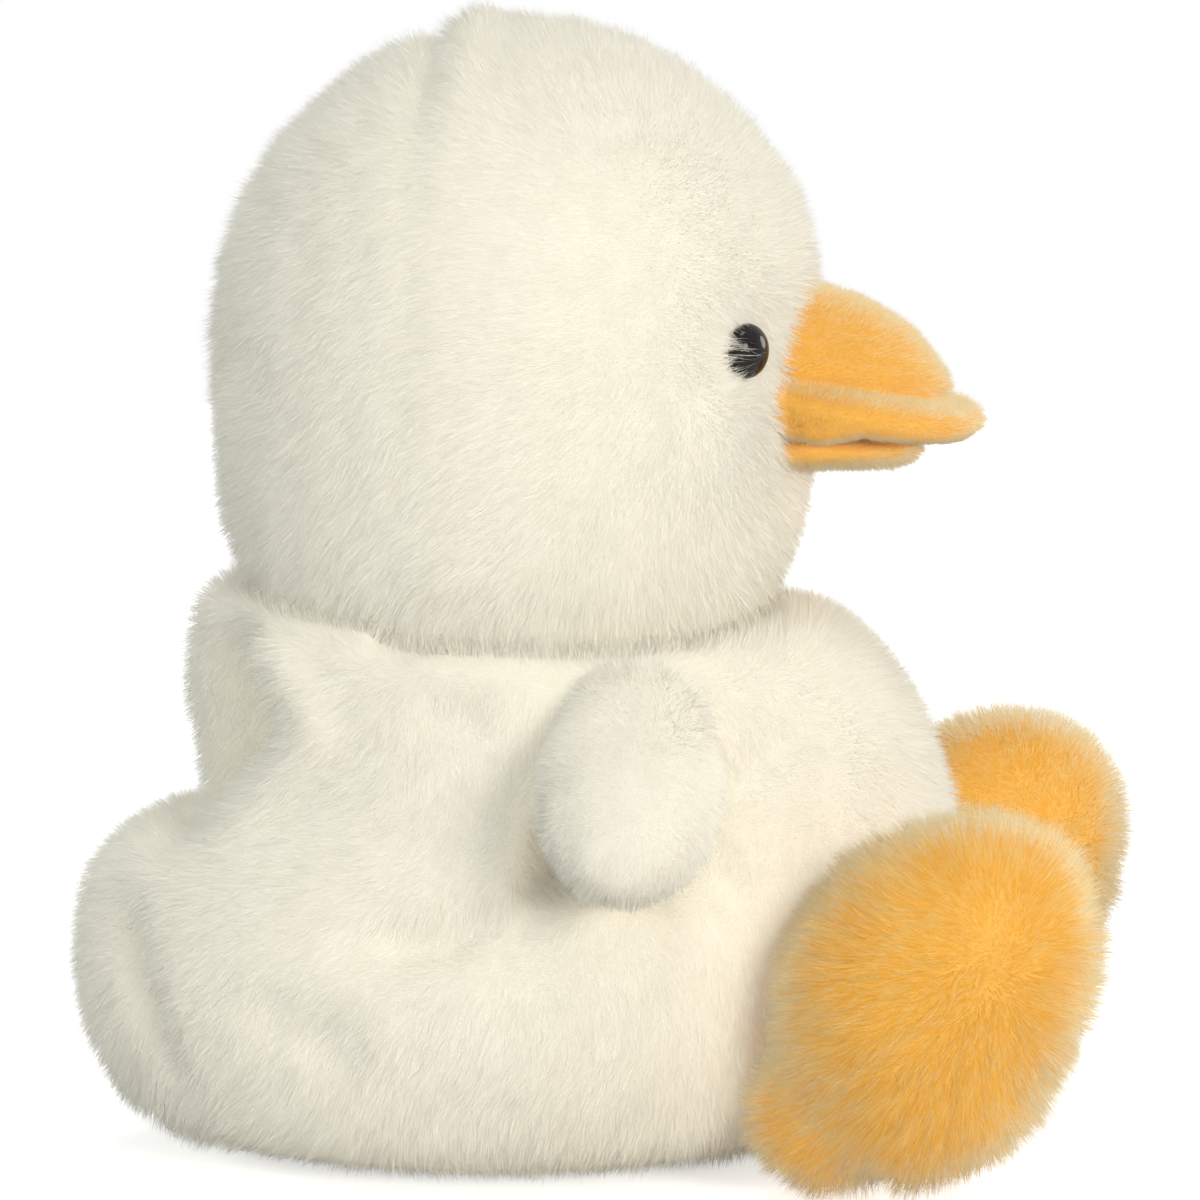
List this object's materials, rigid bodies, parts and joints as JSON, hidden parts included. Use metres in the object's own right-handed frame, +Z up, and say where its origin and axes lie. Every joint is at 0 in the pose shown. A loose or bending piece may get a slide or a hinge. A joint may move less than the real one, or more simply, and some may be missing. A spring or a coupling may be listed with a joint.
{
  "type": "plush goose",
  "caption": "Sitting plush goose with a round head that turns and nods, a sewn orange bill, drooping wings, plump feet and a pellet-weighted base.",
  "frame": {"origin": "on the ground, at the middle of the underside of the goose's bounding box", "axes": "+Z up, -Y the way the goose faces, -X its right side"},
  "size_m": [0.1044, 0.1172, 0.1257],
  "materials": {
    "white_plush": "short cream-white pile",
    "orange_plush": "golden orange pile with pale yellow tips",
    "fibre_fill": "loose polyester fibre",
    "eye_plastic": "polished black",
    "washer_plastic": "natural moulded plastic",
    "pouch_cloth": "plain woven cotton",
    "pellet_plastic": "translucent pellets"
  },
  "bodies": {
    "body": {"base_cover": "white_plush", "belly_cover": "white_plush", "back_cover": "white_plush", "right_side_cover": "white_plush", "left_side_cover": "white_plush", "pellet_pouch": "pouch_cloth", "pellets": "pellet_plastic", "body_filling": "fibre_fill"},
    "neck": {"neck_wadding": "fibre_fill"},
    "head": {"face_cover": "white_plush", "head_back_cover": "white_plush", "head_filling": "fibre_fill", "right_eye": "eye_plastic", "left_eye": "eye_plastic", "right_eye_washer": "washer_plastic", "left_eye_washer": "washer_plastic", "upper_bill_cover": "orange_plush", "upper_bill_filling": "fibre_fill"},
    "lower_bill": {"lower_bill_cover": "orange_plush"},
    "right_wing": {"right_wing_top_cover": "white_plush", "right_wing_under_cover": "white_plush", "right_wing_filling": "fibre_fill"},
    "left_wing": {"left_wing_top_cover": "white_plush", "left_wing_under_cover": "white_plush", "left_wing_filling": "fibre_fill"},
    "right_foot": {"right_foot_top_cover": "orange_plush", "right_foot_sole_cover": "orange_plush", "right_foot_filling": "fibre_fill"},
    "left_foot": {"left_foot_top_cover": "orange_plush", "left_foot_sole_cover": "orange_plush", "left_foot_filling": "fibre_fill"}
  },
  "joints": [
    {"name": "head_turn", "type": "hinge", "parent": "body", "child": "neck", "pos_m": [0, 0.0085, 0.078], "axis": [0, 0, 1], "range_deg": [-30, 30], "stiffness_Nm_per_rad": 0.05},
    {"name": "head_nod", "type": "hinge", "parent": "neck", "child": "head", "pos_m": [0, 0.0085, 0.078], "axis": [1, 0, 0], "range_deg": [-10, 12], "stiffness_Nm_per_rad": 0.08},
    {"name": "lower_bill_open", "type": "hinge", "parent": "head", "child": "lower_bill", "pos_m": [0, -0.0228, 0.076], "axis": [1, 0, 0], "range_deg": [0, 12], "stiffness_Nm_per_rad": 0.002},
    {"name": "right_wing_flap", "type": "hinge", "parent": "body", "child": "right_wing", "pos_m": [-0.03119, -0.00759, 0.0515], "axis": [0, 1, 0], "range_deg": [0, 65], "stiffness_Nm_per_rad": 0.01},
    {"name": "left_wing_flap", "type": "hinge", "parent": "body", "child": "left_wing", "pos_m": [0.03119, -0.00759, 0.0515], "axis": [0, -1, 0], "range_deg": [0, 65], "stiffness_Nm_per_rad": 0.01},
    {"name": "right_foot_flex", "type": "hinge", "parent": "body", "child": "right_foot", "pos_m": [-0.03139, -0.0271, 0.0093], "axis": [0.9613, -0.2756, 0], "range_deg": [0, 30], "stiffness_Nm_per_rad": 0.05},
    {"name": "left_foot_flex", "type": "hinge", "parent": "body", "child": "left_foot", "pos_m": [0.03139, -0.0271, 0.0093], "axis": [0.9613, 0.2756, 0], "range_deg": [0, 30], "stiffness_Nm_per_rad": 0.05}
  ]
}
